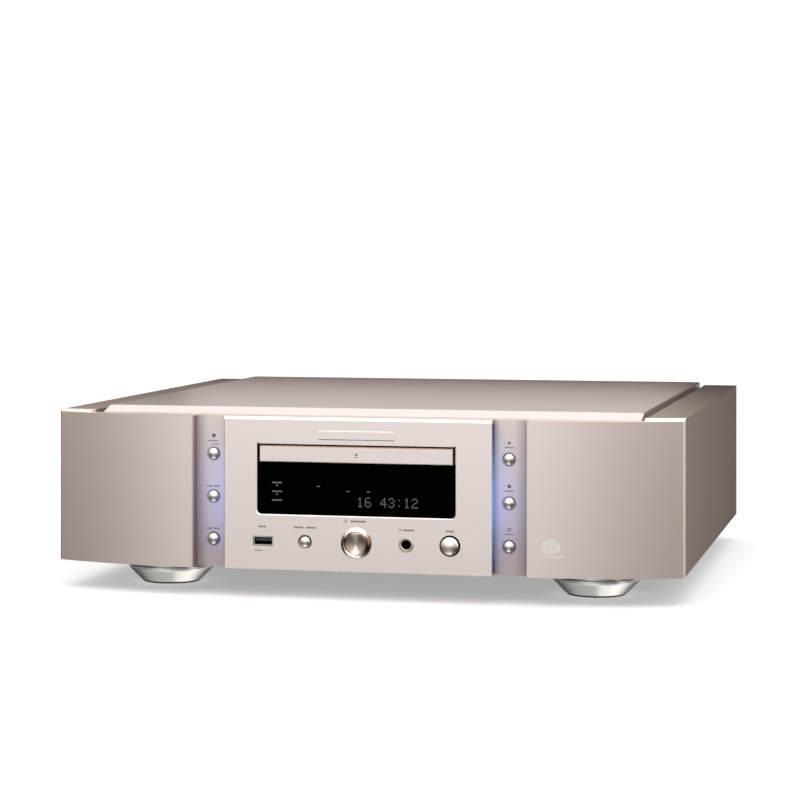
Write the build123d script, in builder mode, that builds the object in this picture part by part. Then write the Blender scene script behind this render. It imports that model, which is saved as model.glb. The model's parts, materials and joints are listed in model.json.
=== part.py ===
"""Full-width disc player: an assembly of separate pieces, in millimetres.

Frame: +Z up, front towards -Y, origin under the middle of the bounding box, on the surface that the feet stand on.
Depths are counted back from the front face of the centre panel, and back(d) turns such a depth into Y.
"""

import math
import os

from build123d import *

os.makedirs("parts", exist_ok=True)

# ---------------------------------------------------------------- driving dimensions
WIDTH = 440.0
HEIGHT = 127.0
DEPTH = 419.0
CONTROL_REACH = 3.5  # how far the foremost control stands in front of the centre panel
SOCKET_REACH = 9.0  # how far the rear sockets stand behind the rear panel
FRONT_Y = -DEPTH / 2 + CONTROL_REACH
BODY_DEPTH = DEPTH - CONTROL_REACH - SOCKET_REACH
GAP = 0.2  # clearance between neighbouring fixed parts

PANEL_BOTTOM = 19.0
PANEL_TOP = 123.4  # centre panel
SHELF_TOP = 123.1  # strips, wings and lid lip between the two grooves
RIM_TOP = 125.3  # wings outside the grooves
CHEEK_TOP = 124.7  # side panels outside the grooves
LID_BOTTOM = 122.0
LID_HALF = 190.0
LID_FRONT = 20.0
LID_LIP_END = 28.0
LID_BEVEL_END = 42.5
GROOVE_HALF = 194.0
CENTRE_HALF = 93.2
CENTRE_WALL = 8.0
CENTRE_DEPTH = 13.0
WING_START = 116.0
WING_END = 218.6
WING_RADIUS = 350.0
CORNER_CHAMFER = 1.4
WING_ARC_X = 100.0
WING_BACK = 23.8
WING_STEP = 0.4  # the wings start this far behind the centre panel's face
STRIP_FACE = 9.0
STRIP_BACK = 13.0
SIDE_FRONT = 24.0
SIDE_BOTTOM = 19.8
SIDE_WALL = 4.0
FLOOR_BOTTOM = 19.5
FLOOR_TOP = 22.5

OPENING_X = -0.8  # middle of the drawer and display opening
OPENING_HALF = 69.0
OPENING_BOTTOM = 57.0
OPENING_TOP = 105.1
OPENING_CORNER = 3.0
WINDOW_DEPTH = (1.8, 3.8)
DOOR_DEPTH = (0.7, 5.6)
DOOR_HALF = 67.4
DOOR_BOTTOM = 92.8
DOOR_TOP = 103.9
CONTROL_Z = 38.8
USB_X = -65.4
MODE_X = -36.0
JACK_X = 34.7
KNOB_X = 64.7
KNOB_RADIUS = 6.1
KNOB_HOLE = KNOB_RADIUS + 1.1
POWER_HOLE = 9.0
JACK_HOLE = 4.6
MODE_HOLE, MODE_FLARE, MODE_FLARE_ANGLE = 3.9, 5.0, 60
USB_HOLE = (14.2, 6.6)
BUTTON_X = 103.3
BUTTON_Z = (96.9, 67.5, 38.3)
FOOT_X = 153.5
FOOT_DEPTHS = (70.0, 330.0)
DISC_DEPTH = 75.0  # disc centre behind the front face, drawer shut


def back(depth):
    """Y of a plane that lies depth behind the centre panel's face."""
    return FRONT_Y + depth


def facing_front(depth=0.0):
    """Sketch plane at that depth: local x is X, local y is Z, and extruding by a negative amount goes back."""
    return Plane.XZ.offset(-back(depth))


def block(x, depth, z, mode=Mode.ADD):
    """Box between two values of X, two depths and two heights, in the part being built."""
    centre = ((x[0] + x[1]) / 2, back((depth[0] + depth[1]) / 2), (z[0] + z[1]) / 2)
    with Locations(centre):
        Box(x[1] - x[0], depth[1] - depth[0], z[1] - z[0], mode=mode)


def turning_plane(x, z):
    """Sketch plane for a piece turned about the Y axis through (x, z): local x is radius, local y is depth."""
    return Plane(origin=(x, back(0), z), x_dir=(1, 0, 0), z_dir=(0, 0, 1))


def lathe_front(x, z, outline):
    """Turned piece about the Y axis through (x, z): outline is a list of (radius, depth) points."""
    with BuildSketch(turning_plane(x, z)) as profile:
        with BuildLine():
            Polyline(*outline, close=True)
        make_face()
    revolve(profile.sketch, axis=Axis((x, back(0), z), (0, 1, 0)))


def lathe_up(x, depth, outline):
    """Turned piece about the vertical axis through (x, depth): outline is a list of (radius, height) points."""
    with BuildSketch(Plane(origin=(x, back(depth), 0), x_dir=(1, 0, 0), z_dir=(0, -1, 0))) as profile:
        with BuildLine():
            Polyline(*outline, close=True)
        make_face()
    revolve(profile.sketch, axis=Axis((x, back(depth), 0), (0, 0, 1)))


def bore_front(x, z, radius, depth, mode=Mode.SUBTRACT):
    """Round hole, or pin, along Y between two depths."""
    with BuildSketch(facing_front(depth[0])) as profile:
        with Locations((x, z)):
            Circle(radius)
    extrude(profile.sketch, amount=-(depth[1] - depth[0]), mode=mode)


def save(builder, name):
    """Labels a finished piece and writes its STEP file."""
    builder.part.label = name
    export_step(builder.part, f"parts/{name}.step")


# ---------------------------------------------------------------- front: centre panel
PANEL_TOP_CHAMFER = 1.8
PANEL_EDGE_CHAMFER = 0.5
MOUTH_CHAMFER = 0.6
GUIDE_SEAT = 0.1
GUIDE_CHAMFER = 0.3
GUIDE_INNER = 90.0
GUIDE_DEPTH = (2.0, 9.0)
GUIDE_Z = (21.5, 120.5)
RIM = 5.0

with BuildPart() as centre_panel:
    block((-CENTRE_HALF, CENTRE_HALF), (0, CENTRE_DEPTH), (PANEL_BOTTOM, PANEL_TOP))
    front_edges = centre_panel.faces().sort_by(Axis.Y)[0].edges()
    chamfer(front_edges.sort_by(Axis.Z)[-1], PANEL_TOP_CHAMFER)
    front_edges = centre_panel.faces().sort_by(Axis.Y)[0].edges()
    chamfer(front_edges.sort_by(Axis.Z)[0:3], PANEL_EDGE_CHAMFER)
    block(
        (-CENTRE_HALF + RIM, CENTRE_HALF - RIM),
        (CENTRE_WALL, CENTRE_DEPTH + 1),
        (PANEL_BOTTOM + RIM, PANEL_TOP - RIM),
        mode=Mode.SUBTRACT,
    )
    for side in (-1, 1):
        block(
            sorted((side * (GUIDE_INNER - GAP), side * (CENTRE_HALF + 1))),
            (GUIDE_DEPTH[0] - GAP, GUIDE_DEPTH[1] + GAP),
            (GUIDE_Z[0] - GAP, GUIDE_Z[1] + GAP),
            mode=Mode.SUBTRACT,
        )
    # drawer and display opening, rounded at its two lower corners, with a fine chamfer round its mouth
    with BuildSketch(facing_front()) as opening:
        with Locations((OPENING_X, (OPENING_BOTTOM + OPENING_TOP) / 2)):
            Rectangle(2 * OPENING_HALF, OPENING_TOP - OPENING_BOTTOM)
        fillet(opening.vertices().sort_by(Axis.Y)[0:2], OPENING_CORNER)
    extrude(amount=-CENTRE_WALL, mode=Mode.SUBTRACT)
    mouth = centre_panel.faces().sort_by(Axis.Y)[0].inner_wires()[0]
    chamfer(mouth.edges(), MOUTH_CHAMFER)
    # controls
    with BuildSketch(facing_front()):
        with Locations((USB_X, CONTROL_Z)):
            Rectangle(*USB_HOLE)
    extrude(amount=-CENTRE_WALL, mode=Mode.SUBTRACT)
    for x, radius in ((0.0, POWER_HOLE), (JACK_X, JACK_HOLE), (KNOB_X, KNOB_HOLE)):
        bore_front(x, CONTROL_Z, radius, (0, CENTRE_WALL))
    with Locations(Location(facing_front()) * Location((MODE_X, CONTROL_Z, 0))):
        CounterSinkHole(MODE_HOLE, MODE_FLARE, depth=CENTRE_WALL, counter_sink_angle=MODE_FLARE_ANGLE)
save(centre_panel, "centre_panel")

with BuildPart() as light_guides:
    for side in (-1, 1):
        block(sorted((side * GUIDE_INNER, side * (CENTRE_HALF - GUIDE_SEAT))), GUIDE_DEPTH, GUIDE_Z)
    chamfer(light_guides.edges().filter_by(Axis.Z), GUIDE_CHAMFER)
save(light_guides, "light_guides")


# ---------------------------------------------------------------- front: curved wings
RIM_CHAMFER = 2.0
WING_EDGE_CHAMFER = 0.8
POCKET_SKIN = 6.0  # thickness left in front of the hollow
POCKET_END = WING_END - RIM - 15.0


def wing_depth(x):
    """Depth of the wing's curved face at a distance x from the middle."""
    start = WING_RADIUS - math.sqrt(WING_RADIUS**2 - (WING_START - WING_ARC_X) ** 2)
    return WING_RADIUS - math.sqrt(WING_RADIUS**2 - (x - WING_ARC_X) ** 2) - start + WING_STEP


def wing_arc(start, end, inset, side):
    """The wing's face as an arc from start to end, moved back by inset."""
    middle = (start + end) / 2
    points = [(side * x, back(wing_depth(x) + inset)) for x in (start, middle, end)]
    return ThreePointArc(*points)


for name, side in (("left_wing", -1), ("right_wing", 1)):
    with BuildPart() as wing:
        with BuildSketch(Plane.XY.offset(PANEL_BOTTOM)):
            with BuildLine():
                face_line = wing_arc(WING_START, WING_END, 0, side)
                Polyline(
                    face_line @ 1,
                    (side * WIDTH / 2, back(wing_depth(WING_END) + CORNER_CHAMFER)),
                    (side * WIDTH / 2, back(WING_BACK)),
                    (side * (LID_HALF + GAP), back(WING_BACK)),
                    (side * (LID_HALF + GAP), back(LID_FRONT - GAP)),
                    (side * WING_START, back(LID_FRONT - GAP)),
                    face_line @ 0,
                )
            make_face()
        extrude(amount=RIM_TOP - PANEL_BOTTOM)
        chamfer(wing.edges().filter_by(GeomType.CIRCLE).sort_by(Axis.Z)[-1], RIM_CHAMFER)
        chamfer(wing.edges().filter_by(Axis.Z).sort_by(Axis.Y)[0], WING_EDGE_CHAMFER)
        # low shelf in front of the lid and its groove
        block(
            sorted((side * (WING_START - 1), side * GROOVE_HALF)),
            (-1, WING_BACK + 1),
            (SHELF_TOP, RIM_TOP + 1),
            mode=Mode.SUBTRACT,
        )
        # hollow behind, open to the rear
        with BuildSketch(Plane.XY.offset(PANEL_BOTTOM + RIM)):
            with BuildLine():
                pocket_line = wing_arc(WING_START + RIM, POCKET_END, POCKET_SKIN, side)
                Polyline(
                    pocket_line @ 1,
                    (side * POCKET_END, back(WING_BACK + 1)),
                    (side * (WING_START + RIM), back(WING_BACK + 1)),
                    pocket_line @ 0,
                )
            make_face()
        extrude(amount=PANEL_TOP - PANEL_BOTTOM - 2 * RIM, mode=Mode.SUBTRACT)
    save(wing, name)

# ---------------------------------------------------------------- front: button strips
STRIP_LIFT = 0.3
BUTTON_HOLE, BUTTON_FLARE, BUTTON_FLARE_ANGLE = 4.1, 4.9, 82
for name, side in (("left_button_strip", -1), ("right_button_strip", 1)):
    with BuildPart() as strip:
        block(
            sorted((side * (CENTRE_HALF + GAP), side * (WING_START - GAP))),
            (STRIP_FACE, STRIP_BACK),
            (PANEL_BOTTOM + STRIP_LIFT, SHELF_TOP),
        )
        holes = [(side * BUTTON_X, z, 0) for z in BUTTON_Z]
        with Locations([Location(facing_front(STRIP_FACE)) * Location(hole) for hole in holes]):
            CounterSinkHole(
                BUTTON_HOLE, BUTTON_FLARE, depth=STRIP_BACK - STRIP_FACE, counter_sink_angle=BUTTON_FLARE_ANGLE
            )
    save(strip, name)

CAP_RADIUS = 3.9
CAP_OUT = 1.7  # cap stands this far in front of its strip
PLUNGER_TIP = 13.7  # depth at which the cap's stem meets its switch at full travel
BUTTON_TRAVEL = 1.0
CAP_LENGTH = 4.5
STEM_RADIUS = 1.8
CROWN_DROP = 0.6  # how far the dome falls from its middle to its edge
RIM_DROP = 1.7  # and to the cap's cylindrical side


def push_cap(x, z, face, radius, stem_tip):
    """Domed cap with a collar behind the panel's hole and a stem for its switch."""
    edge = radius * 0.25
    with BuildSketch(turning_plane(x, z)) as profile:
        with BuildLine():
            crown = ThreePointArc(
                (0, face), (radius / 2, face + CROWN_DROP * 0.44), (radius - edge, face + CROWN_DROP)
            )
            shoulder = ThreePointArc(
                crown @ 1, (radius - edge * 0.3, face + RIM_DROP * 0.56), (radius, face + RIM_DROP)
            )
            Polyline(
                shoulder @ 1,
                (radius, face + CAP_LENGTH),
                (STEM_RADIUS, face + CAP_LENGTH),
                (STEM_RADIUS, stem_tip),
                (0, stem_tip),
                (0, face),
            )
        make_face()
    revolve(profile.sketch, axis=Axis((x, back(0), z), (0, 1, 0)))


for side_name, side in (("left", -1), ("right", 1)):
    for place, z in zip(("top", "middle", "bottom"), BUTTON_Z):
        with BuildPart() as button:
            push_cap(side * BUTTON_X, z, STRIP_FACE - CAP_OUT, CAP_RADIUS, PLUNGER_TIP - BUTTON_TRAVEL)
        save(button, f"{side_name}_{place}_button")

SWITCH_BOARD_X = (94.5, 115.0)
SWITCH_BOARD_Z = (27.0, 113.0)
SWITCH_BOARD_DEPTH = (18.0, 19.6)
SWITCH_HALF = 3.0
SWITCH_CASE = 14.8
SWITCH_PIN = 1.7
with BuildPart() as switch_boards:
    for side in (-1, 1):
        block(sorted(side * x for x in SWITCH_BOARD_X), SWITCH_BOARD_DEPTH, SWITCH_BOARD_Z)
        for z in BUTTON_Z:
            middle = side * BUTTON_X
            block(
                (middle - SWITCH_HALF, middle + SWITCH_HALF),
                (SWITCH_CASE, SWITCH_BOARD_DEPTH[0]),
                (z - SWITCH_HALF, z + SWITCH_HALF),
            )
            bore_front(middle, z, SWITCH_PIN, (PLUNGER_TIP + 0.1, SWITCH_CASE + GAP), mode=Mode.ADD)
save(switch_boards, "switch_boards")

# ---------------------------------------------------------------- front: display
WINDOW_Z = (OPENING_BOTTOM + GAP, DOOR_BOTTOM - 0.5)
with BuildPart() as display_window:
    with BuildSketch(facing_front(WINDOW_DEPTH[0])) as window_outline:
        with Locations((OPENING_X, sum(WINDOW_Z) / 2)):
            Rectangle(2 * (OPENING_HALF - GAP), WINDOW_Z[1] - WINDOW_Z[0])
        fillet(window_outline.vertices().sort_by(Axis.Y)[0:2], OPENING_CORNER - GAP)
    extrude(amount=WINDOW_DEPTH[0] - WINDOW_DEPTH[1])
save(display_window, "display_window")

BOARD_FRONT = 14.0
BOARD_BACK = 15.6
BOARD_HALF = 86.0
BOARD_HEIGHTS = (26.0, 90.0)
DISPLAY_HALF = 62.0
DISPLAY_DEPTH = (6.0, 11.0)
DISPLAY_Z = (60.0, 90.0)
LEAD_PITCH = 6
LEAD_HALF = 0.3
with BuildPart() as display_module:
    block((-DISPLAY_HALF, DISPLAY_HALF), DISPLAY_DEPTH, DISPLAY_Z)
    chamfer(display_module.faces().sort_by(Axis.Y)[0].edges(), 1.0)
    for number in range(-9, 10):  # leads down to the control board
        x = number * LEAD_PITCH
        block((x - LEAD_HALF, x + LEAD_HALF), (DISPLAY_DEPTH[1] - 1.5, BOARD_FRONT), (DISPLAY_Z[0] - 1, DISPLAY_Z[0]))
save(display_module, "display_module")

SWITCH_FRONT = 12.8
KEY_HALF = 3.5
JACK_CUT, KNOB_CUT, USB_CUT = (8.5, 8.5), (9.0, 9.0), (8.0, 5.0)  # half width and half height
with BuildPart() as control_board:
    block((-BOARD_HALF, BOARD_HALF), (BOARD_FRONT, BOARD_BACK), BOARD_HEIGHTS)
    for x in (0.0, MODE_X):
        block((x - KEY_HALF, x + KEY_HALF), (SWITCH_FRONT, BOARD_FRONT), (CONTROL_Z - KEY_HALF, CONTROL_Z + KEY_HALF))
    for x, (wide, high) in ((JACK_X, JACK_CUT), (KNOB_X, KNOB_CUT), (USB_X, USB_CUT)):
        block(
            (x - wide, x + wide),
            (BOARD_FRONT - 1, BOARD_BACK + 1),
            (CONTROL_Z - high, CONTROL_Z + high),
            mode=Mode.SUBTRACT,
        )
save(control_board, "control_board")

# ---------------------------------------------------------------- front: controls on the centre panel
POWER_TRAVEL = 2.0
BEZEL_RADIUS = 10.6
BEZEL_CREST = (8.4, -3.4)  # radius and depth of the bezel's foremost ring
BEZEL_BORE = 7.7
BEZEL_TUBE = POWER_HOLE - 0.1
BEZEL_LENGTH = 7.5
with BuildPart() as power_bezel:
    with BuildSketch(turning_plane(0, CONTROL_Z)):
        with BuildLine():
            rim = ThreePointArc(BEZEL_CREST, (BEZEL_RADIUS - 0.7, -2.3), (BEZEL_RADIUS, 0.0))
            Polyline(
                rim @ 1,
                (BEZEL_TUBE, 0.0),
                (BEZEL_TUBE, BEZEL_LENGTH),
                (BEZEL_BORE, BEZEL_LENGTH),
                (BEZEL_BORE, -2.6),
                rim @ 0,
            )
        make_face()
    revolve(axis=Axis((0, back(0), CONTROL_Z), (0, 1, 0)))
save(power_bezel, "power_bezel")

POWER_RADIUS = BEZEL_BORE - 0.15
POWER_MIDDLE = -1.4  # depth of the dished face at its middle
POWER_EDGE = (POWER_RADIUS - 0.55, -2.4)
POWER_LENGTH = 5.0
POWER_STEM = 2.5
POWER_TIP = SWITCH_FRONT - POWER_TRAVEL - GAP
with BuildPart() as power_button:
    with BuildSketch(turning_plane(0, CONTROL_Z)):
        with BuildLine():
            dish = ThreePointArc((0, POWER_MIDDLE), (POWER_EDGE[0] * 0.514, -1.65), POWER_EDGE)
            Polyline(
                dish @ 1,
                (POWER_RADIUS, POWER_EDGE[1] + 0.3),
                (POWER_RADIUS, POWER_LENGTH),
                (POWER_STEM, POWER_LENGTH),
                (POWER_STEM, POWER_TIP),
                (0, POWER_TIP),
                (0, POWER_MIDDLE),
            )
        make_face()
    revolve(axis=Axis((0, back(0), CONTROL_Z), (0, 1, 0)))
save(power_button, "power_button")

MODE_FACE = -0.6
MODE_RADIUS = MODE_HOLE - 0.2
with BuildPart() as mode_button:
    push_cap(MODE_X, CONTROL_Z, MODE_FACE, MODE_RADIUS, SWITCH_FRONT - BUTTON_TRAVEL - GAP)
save(mode_button, "mode_button")

SHAFT_RADIUS = 3.0
SHAFT_DEPTH = (-0.5, 14.0)
KNOB_LENGTH = 6.0
DIMPLE = (2.9, -1.8)  # right of the knob's middle and below it
DIMPLE_RADIUS = 1.2
with BuildPart() as level_knob:
    with BuildSketch(turning_plane(KNOB_X, CONTROL_Z)):
        with BuildLine():
            crown = ThreePointArc((0, -CONTROL_REACH), (2.4, -3.288), (KNOB_RADIUS - 1.4, -2.7))
            shoulder = ThreePointArc(crown @ 1, (KNOB_RADIUS - 0.45, -2.1), (KNOB_RADIUS, -0.6))
            Polyline(shoulder @ 1, (KNOB_RADIUS, KNOB_LENGTH), (0, KNOB_LENGTH), (0, -CONTROL_REACH))
        make_face()
    revolve(axis=Axis((KNOB_X, back(0), CONTROL_Z), (0, 1, 0)))
    # index dimple at four o'clock
    with Locations((KNOB_X + DIMPLE[0], back(-CONTROL_REACH), CONTROL_Z + DIMPLE[1])):
        Sphere(DIMPLE_RADIUS, mode=Mode.SUBTRACT)
    bore_front(KNOB_X, CONTROL_Z, SHAFT_RADIUS, (SHAFT_DEPTH[0], KNOB_LENGTH))
save(level_knob, "level_knob")

with BuildPart() as level_shaft:
    bore_front(KNOB_X, CONTROL_Z, SHAFT_RADIUS, SHAFT_DEPTH, mode=Mode.ADD)
save(level_shaft, "level_shaft")

CASE_HALF = 8.0  # cases of the level control and of the headphone jack
LEVEL_CASE_DEPTH = (10.0, 19.0)
LEVEL_NECK = 4.5
with BuildPart() as level_control:
    block((KNOB_X - CASE_HALF, KNOB_X + CASE_HALF), LEVEL_CASE_DEPTH, (CONTROL_Z - CASE_HALF, CONTROL_Z + CASE_HALF))
    chamfer(level_control.edges().filter_by(Axis.Y), 2.0)
    bore_front(KNOB_X, CONTROL_Z, LEVEL_NECK, (KNOB_LENGTH + 0.4, LEVEL_CASE_DEPTH[0]), mode=Mode.ADD)
    bore_front(KNOB_X, CONTROL_Z, SHAFT_RADIUS + 0.05, (KNOB_LENGTH, SHAFT_DEPTH[1] + GAP))
save(level_control, "level_control")

JACK_BORE = 3.2
JACK_LENGTH = 30.0
JACK_CASE_DEPTH = (9.0, 34.0)
JACK_NECK = JACK_HOLE - 0.15
JACK_FLANGE = 5.1
with BuildPart() as headphone_jack:
    block((JACK_X - CASE_HALF, JACK_X + CASE_HALF), JACK_CASE_DEPTH, (CONTROL_Z - CASE_HALF, CONTROL_Z + CASE_HALF))
    bore_front(JACK_X, CONTROL_Z, JACK_NECK, (-0.3, JACK_CASE_DEPTH[0]), mode=Mode.ADD)
    bore_front(JACK_X, CONTROL_Z, JACK_FLANGE, (-0.9, -0.02), mode=Mode.ADD)
    bore_front(JACK_X, CONTROL_Z, JACK_BORE, (-1, JACK_LENGTH))
    flange_edges = headphone_jack.edges().filter_by(GeomType.CIRCLE).group_by(Axis.Y)[0]
    chamfer(flange_edges, 0.4)
save(headphone_jack, "headphone_jack")


SHELL_HALF = (6.7, 2.95)  # half width and half height of the USB socket's shell
SHELL_WALL = 0.4
SHELL_DEPTH = (0.5, 16.0)
TONGUE_HALF = 5.5
TONGUE_RISE = (-0.1, 1.7)
with BuildPart() as front_usb_socket:
    wide, high = SHELL_HALF
    block((USB_X - wide, USB_X + wide), SHELL_DEPTH, (CONTROL_Z - high, CONTROL_Z + high))
    wide, high = wide - SHELL_WALL, high - SHELL_WALL
    block(
        (USB_X - wide, USB_X + wide),
        (SHELL_DEPTH[0] - 1, SHELL_DEPTH[1] - 1),
        (CONTROL_Z - high, CONTROL_Z + high),
        mode=Mode.SUBTRACT,
    )
    block(
        (USB_X - TONGUE_HALF, USB_X + TONGUE_HALF),
        (SHELL_DEPTH[0] + 1.2, SHELL_DEPTH[1] - 0.5),
        (CONTROL_Z + TONGUE_RISE[0], CONTROL_Z + TONGUE_RISE[1]),
    )
save(front_usb_socket, "front_usb_socket")

# ---------------------------------------------------------------- frame behind the front panels
WEB = (20.1, 22.6)
WEB_CUT = (WEB[0] - 1, WEB[1] + 1)
RAIL_TOP = PANEL_TOP - 5.0  # underside of the upper rail
RAIL_BOTTOM = PANEL_BOTTOM + 4.8  # top of the lower rail
DRAWER_WINDOW = ((-72.0, 72.0), (86.0, 112.0))
WIRING_WINDOW = ((-88.0, 88.0), (26.0, 54.0))
SIDE_WINDOWS = [(sorted((side * 125.0, side * 180.0)), (32.0, 110.0)) for side in (-1, 1)]
with BuildPart() as front_frame:
    block((-LID_HALF + GAP, LID_HALF - GAP), WEB, (FLOOR_TOP + GAP, LID_BOTTOM - GAP))
    # rails that close the top and bottom between the wings
    rail_x = (-WING_START + GAP, WING_START - GAP)
    block(rail_x, (STRIP_BACK + GAP, LID_FRONT - GAP), (RAIL_TOP, SHELF_TOP))
    block(rail_x, (STRIP_BACK + GAP, LID_FRONT - GAP), (PANEL_BOTTOM + STRIP_LIFT, RAIL_BOTTOM))
    block(rail_x, (LID_FRONT - GAP, WEB[0]), (RAIL_TOP, LID_BOTTOM - GAP))
    block(rail_x, (LID_FRONT - GAP, WEB[0]), (FLOOR_TOP + GAP, RAIL_BOTTOM))
    for x, z in (DRAWER_WINDOW, WIRING_WINDOW, *SIDE_WINDOWS):
        block(x, WEB_CUT, z, mode=Mode.SUBTRACT)
save(front_frame, "front_frame")

# ---------------------------------------------------------------- case: lid, sides, floor, rear
with BuildPart() as top_plate:
    with BuildSketch(Plane.YZ.offset(-LID_HALF)):
        with BuildLine():
            Polyline(
                (back(LID_FRONT), LID_BOTTOM),
                (back(LID_FRONT), SHELF_TOP),
                (back(LID_LIP_END), SHELF_TOP),
                (back(LID_BEVEL_END), HEIGHT),
                (back(BODY_DEPTH), HEIGHT),
                (back(BODY_DEPTH), LID_BOTTOM),
                close=True,
            )
        make_face()
    extrude(amount=2 * LID_HALF)
    side_edges = top_plate.faces().sort_by(Axis.Z)[-1].edges()
    chamfer(side_edges.filter_by(Axis.Y) + side_edges.sort_by(Axis.Y)[-1:], 0.5)
save(top_plate, "top_plate")

LEDGE_INNER = 180.0
LEDGE_BOTTOM = 118.0
for name, side in (("left_side_panel", -1), ("right_side_panel", 1)):
    with BuildPart() as side_panel:
        with BuildSketch(facing_front(SIDE_FRONT)):
            with BuildLine():
                outline = [
                    (WIDTH / 2, SIDE_BOTTOM),
                    (WIDTH / 2, CHEEK_TOP),
                    (GROOVE_HALF, CHEEK_TOP),
                    (GROOVE_HALF, LID_BOTTOM - 0.05),
                    (LEDGE_INNER, LID_BOTTOM - 0.05),
                    (LEDGE_INNER, LEDGE_BOTTOM),
                    (WIDTH / 2 - SIDE_WALL, LEDGE_BOTTOM),
                    (WIDTH / 2 - SIDE_WALL, SIDE_BOTTOM),
                ]
                Polyline(*[(side * x, z) for x, z in outline], close=True)
            make_face()
        extrude(amount=-(BODY_DEPTH - SIDE_FRONT))
        corner_edges = side_panel.edges().filter_by(Axis.Z).sort_by(lambda edge: -abs(edge.center().X))[0:2]
        chamfer(corner_edges.sort_by(Axis.Y)[-1], CORNER_CHAMFER)
    save(side_panel, name)

FLOOR_HALF = WIDTH / 2 - SIDE_WALL - GAP
SLOT_FIELDS = ((-110.0, 205.0), (110.0, 205.0))  # X and depth of the middle of each field of cooling slots
SLOT_SIZE = (70.0, 4.5)
SLOT_PITCH = 12.0
SLOT_COUNT = 9
FOOT_HOLE = 2.3
FEET_AT = [(side * FOOT_X, depth) for side in (-1, 1) for depth in FOOT_DEPTHS]
with BuildPart() as bottom_plate:
    block((-FLOOR_HALF, FLOOR_HALF), (SIDE_FRONT, BODY_DEPTH - GAP), (FLOOR_BOTTOM, FLOOR_TOP))
    with BuildSketch(Plane.XY.offset(FLOOR_BOTTOM)):
        for x, depth in SLOT_FIELDS:
            with Locations((x, back(depth))):
                with GridLocations(0, SLOT_PITCH, 1, SLOT_COUNT):
                    SlotOverall(*SLOT_SIZE)
        with Locations(*[(x, back(depth)) for x, depth in FEET_AT]):
            Circle(FOOT_HOLE)
    extrude(amount=FLOOR_TOP - FLOOR_BOTTOM, mode=Mode.SUBTRACT)
save(bottom_plate, "bottom_plate")

REAR = (BODY_DEPTH - 2.2, BODY_DEPTH - 0.2)
RCA_OUT = ((-42.0, 80.0), (-42.0, 50.0))
COAX = ((60.0, 80.0), (60.0, 50.0))
XLR = ((-92.0, 65.0), (-142.0, 65.0))
OPTICAL = ((85.0, 80.0), (85.0, 50.0))
USB_B = (112.0, 65.0)
INLET = (178.0, 60.0)
REAR_SCREWS = [(x, z) for x in (-205.0, -70.0, 70.0, 205.0) for z in (30.0, 112.0)]
SCREW_HOLE = 1.7
RCA_HOLE = 5.0
XLR_HOLE = 12.0
OPTICAL_HOLE = (10.4, 10.4)
USB_B_HOLE = (12.6, 11.4)
INLET_HOLE = (28.0, 20.5)

with BuildPart() as rear_panel:
    with BuildSketch(facing_front(REAR[0])):
        with BuildLine():
            half, step = FLOOR_HALF, LEDGE_INNER - GAP
            low, shoulder, top = FLOOR_TOP + GAP, LEDGE_BOTTOM - GAP, LID_BOTTOM - GAP
            Polyline(
                (-half, low),
                (half, low),
                (half, shoulder),
                (step, shoulder),
                (step, top),
                (-step, top),
                (-step, shoulder),
                (-half, shoulder),
                close=True,
            )
        make_face()
        with Locations(*RCA_OUT, *COAX):
            Circle(RCA_HOLE, mode=Mode.SUBTRACT)
        with Locations(*XLR):
            Circle(XLR_HOLE, mode=Mode.SUBTRACT)
        with Locations(*OPTICAL):
            Rectangle(*OPTICAL_HOLE, mode=Mode.SUBTRACT)
        with Locations(USB_B):
            Rectangle(*USB_B_HOLE, mode=Mode.SUBTRACT)
        with Locations(INLET):
            Rectangle(*INLET_HOLE, mode=Mode.SUBTRACT)
        with Locations(*REAR_SCREWS):
            Circle(SCREW_HOLE, mode=Mode.SUBTRACT)
    extrude(amount=-(REAR[1] - REAR[0]))
save(rear_panel, "rear_panel")

# ---------------------------------------------------------------- rear sockets
REAR_FACE = REAR[1]
SOCKET_TIP = REAR_FACE + SOCKET_REACH + 0.2


RCA_BORE, RCA_SHELL, RCA_FLANGE, RCA_BODY = 1.7, 4.15, 6.2, RCA_HOLE - 0.2  # radii
RCA_FLANGE_BACK = REAR_FACE + 1.5
RCA_BODY_FRONT = REAR_FACE - 10.0
RCA_BORE_FRONT = REAR_FACE - 2.0
PLAY = 0.02  # between a socket's flange and the rear panel


def rca_socket(x, z):
    """Round contact shell with a flange against the rear panel and an insulated centre."""
    outline = [
        (RCA_BORE, SOCKET_TIP),
        (RCA_SHELL, SOCKET_TIP),
        (RCA_SHELL, RCA_FLANGE_BACK),
        (RCA_FLANGE, RCA_FLANGE_BACK),
        (RCA_FLANGE, REAR_FACE + PLAY),
        (RCA_BODY, REAR_FACE + PLAY),
        (RCA_BODY, RCA_BODY_FRONT),
        (0.0, RCA_BODY_FRONT),
        (0.0, RCA_BORE_FRONT),
        (RCA_BORE, RCA_BORE_FRONT),
    ]
    lathe_front(x, z, outline)


with BuildPart() as analogue_sockets:
    for x, z in RCA_OUT:
        rca_socket(x, z)
save(analogue_sockets, "analogue_sockets")

with BuildPart() as coaxial_sockets:
    for x, z in COAX:
        rca_socket(x, z)
save(coaxial_sockets, "coaxial_sockets")

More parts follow.
